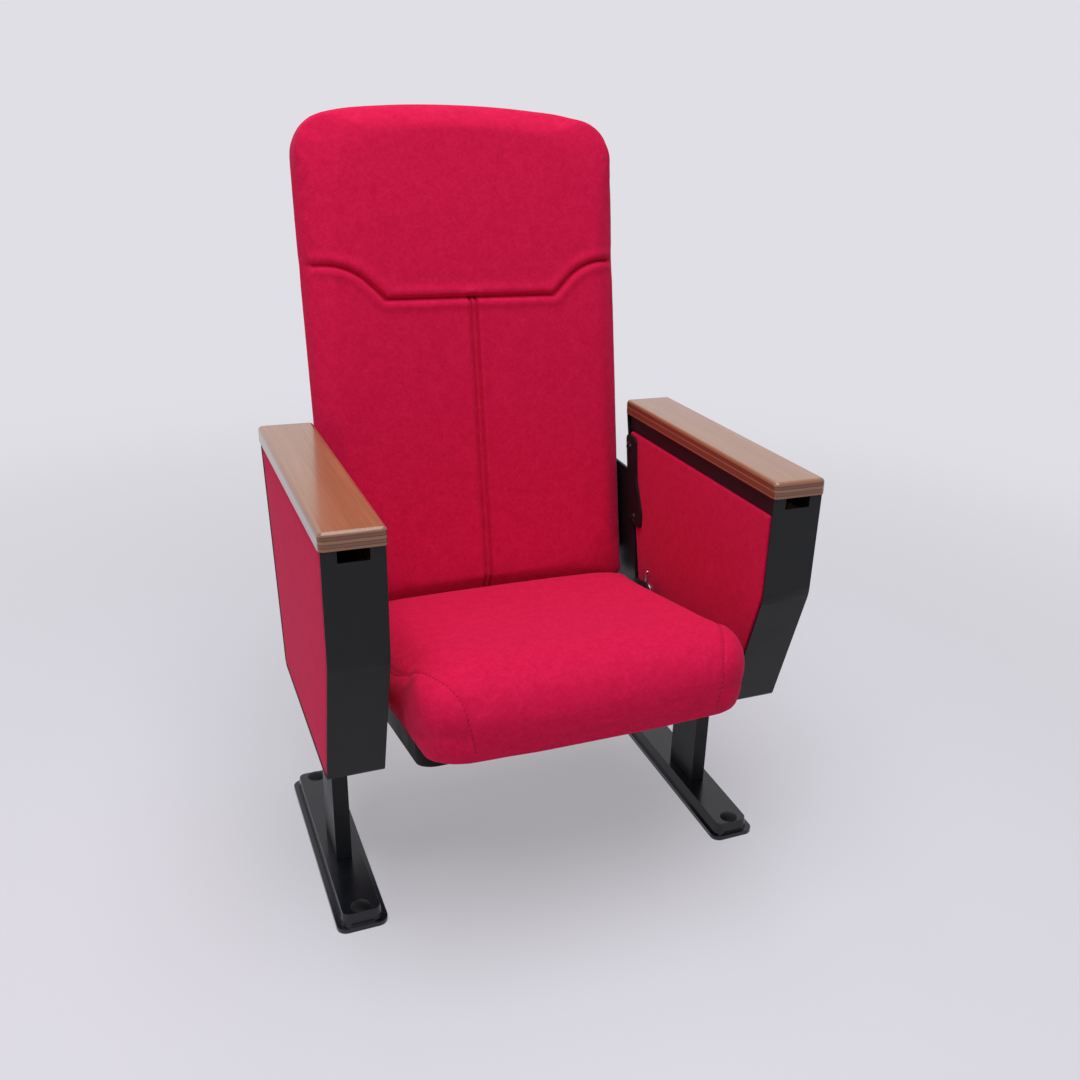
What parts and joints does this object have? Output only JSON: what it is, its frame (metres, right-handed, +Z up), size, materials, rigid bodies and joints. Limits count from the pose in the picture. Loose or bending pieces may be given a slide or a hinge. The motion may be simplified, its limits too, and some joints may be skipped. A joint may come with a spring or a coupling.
{
  "type": "auditorium chair",
  "caption": "Fixed auditorium chair with a tip-up upholstered seat, a high padded back with a shouldered head seam, boxed arms with wooden caps, and floor-bolted feet.",
  "frame": {"origin": "on the floor, at the centre of the four anchor holes", "axes": "+Z up, the chair faces -Y, +X to the right of a viewer who stands in front of it"},
  "size_m": [0.658, 0.7127, 1.0349],
  "materials": {
    "black_powder_coat": "satin black powder coat",
    "crimson_fabric": "crimson plain-weave upholstery over foam",
    "plywood": "raw plywood",
    "lacquered_wood": "walnut-stained laminated wood, clear lacquer",
    "black_plastic": "black moulded plastic",
    "zinc_steel": "bright zinc plate",
    "nylon": "natural nylon"
  },
  "bodies": {
    "frame": {"arm_inner_board_left": "plywood", "arm_inner_board_right": "plywood", "arm_inner_cover_left": "crimson_fabric", "arm_inner_cover_right": "crimson_fabric", "arm_outer_board_left": "plywood", "arm_outer_board_right": "plywood", "arm_outer_cover_left": "crimson_fabric", "arm_outer_cover_right": "crimson_fabric", "arm_shell_left": "black_powder_coat", "arm_shell_right": "black_powder_coat", "arm_top_rail_left": "black_powder_coat", "arm_top_rail_right": "black_powder_coat", "armrest_cap_left": "lacquered_wood", "armrest_cap_right": "lacquered_wood", "back_board": "plywood", "back_bracket_left": "black_powder_coat", "back_bracket_right": "black_powder_coat", "back_cushion": "crimson_fabric", "back_shell": "black_plastic", "back_shell_screws": "zinc_steel", "bracket_bolts_left": "black_powder_coat", "bracket_bolts_right": "black_powder_coat", "bracket_flange_screws": "zinc_steel", "bracket_nuts_left": "zinc_steel", "bracket_nuts_right": "zinc_steel", "cap_screws_left": "zinc_steel", "cap_screws_right": "zinc_steel", "foot_bolt_caps_left": "black_plastic", "foot_bolt_caps_right": "black_plastic", "foot_left": "black_powder_coat", "foot_right": "black_powder_coat", "panel_standoffs_left": "zinc_steel", "panel_standoffs_right": "zinc_steel", "pivot_nut_left": "zinc_steel", "pivot_nut_right": "zinc_steel", "pivot_stud_left": "zinc_steel", "pivot_stud_right": "zinc_steel", "post_left": "black_powder_coat", "post_right": "black_powder_coat", "return_spring_left": "zinc_steel", "return_spring_right": "zinc_steel", "side_plate_left": "black_powder_coat", "side_plate_right": "black_powder_coat", "stop_pin_left": "zinc_steel", "stop_pin_right": "zinc_steel"},
    "seat": {"hinge_bush_left": "nylon", "hinge_bush_right": "nylon", "hinge_screws": "zinc_steel", "seat_board": "plywood", "seat_cushion": "crimson_fabric", "seat_hinge_arm_left": "black_powder_coat", "seat_hinge_arm_right": "black_powder_coat", "seat_pan": "black_plastic", "seat_pan_screws": "zinc_steel"}
  },
  "joints": [
    {"name": "seat_tip_up", "type": "hinge", "parent": "frame", "child": "seat", "pos_m": [0, 0.088, 0.313], "axis": [-1, 0, 0], "range_deg": [0, 72], "stiffness_Nm_per_rad": 3, "springref_deg": 72}
  ]
}
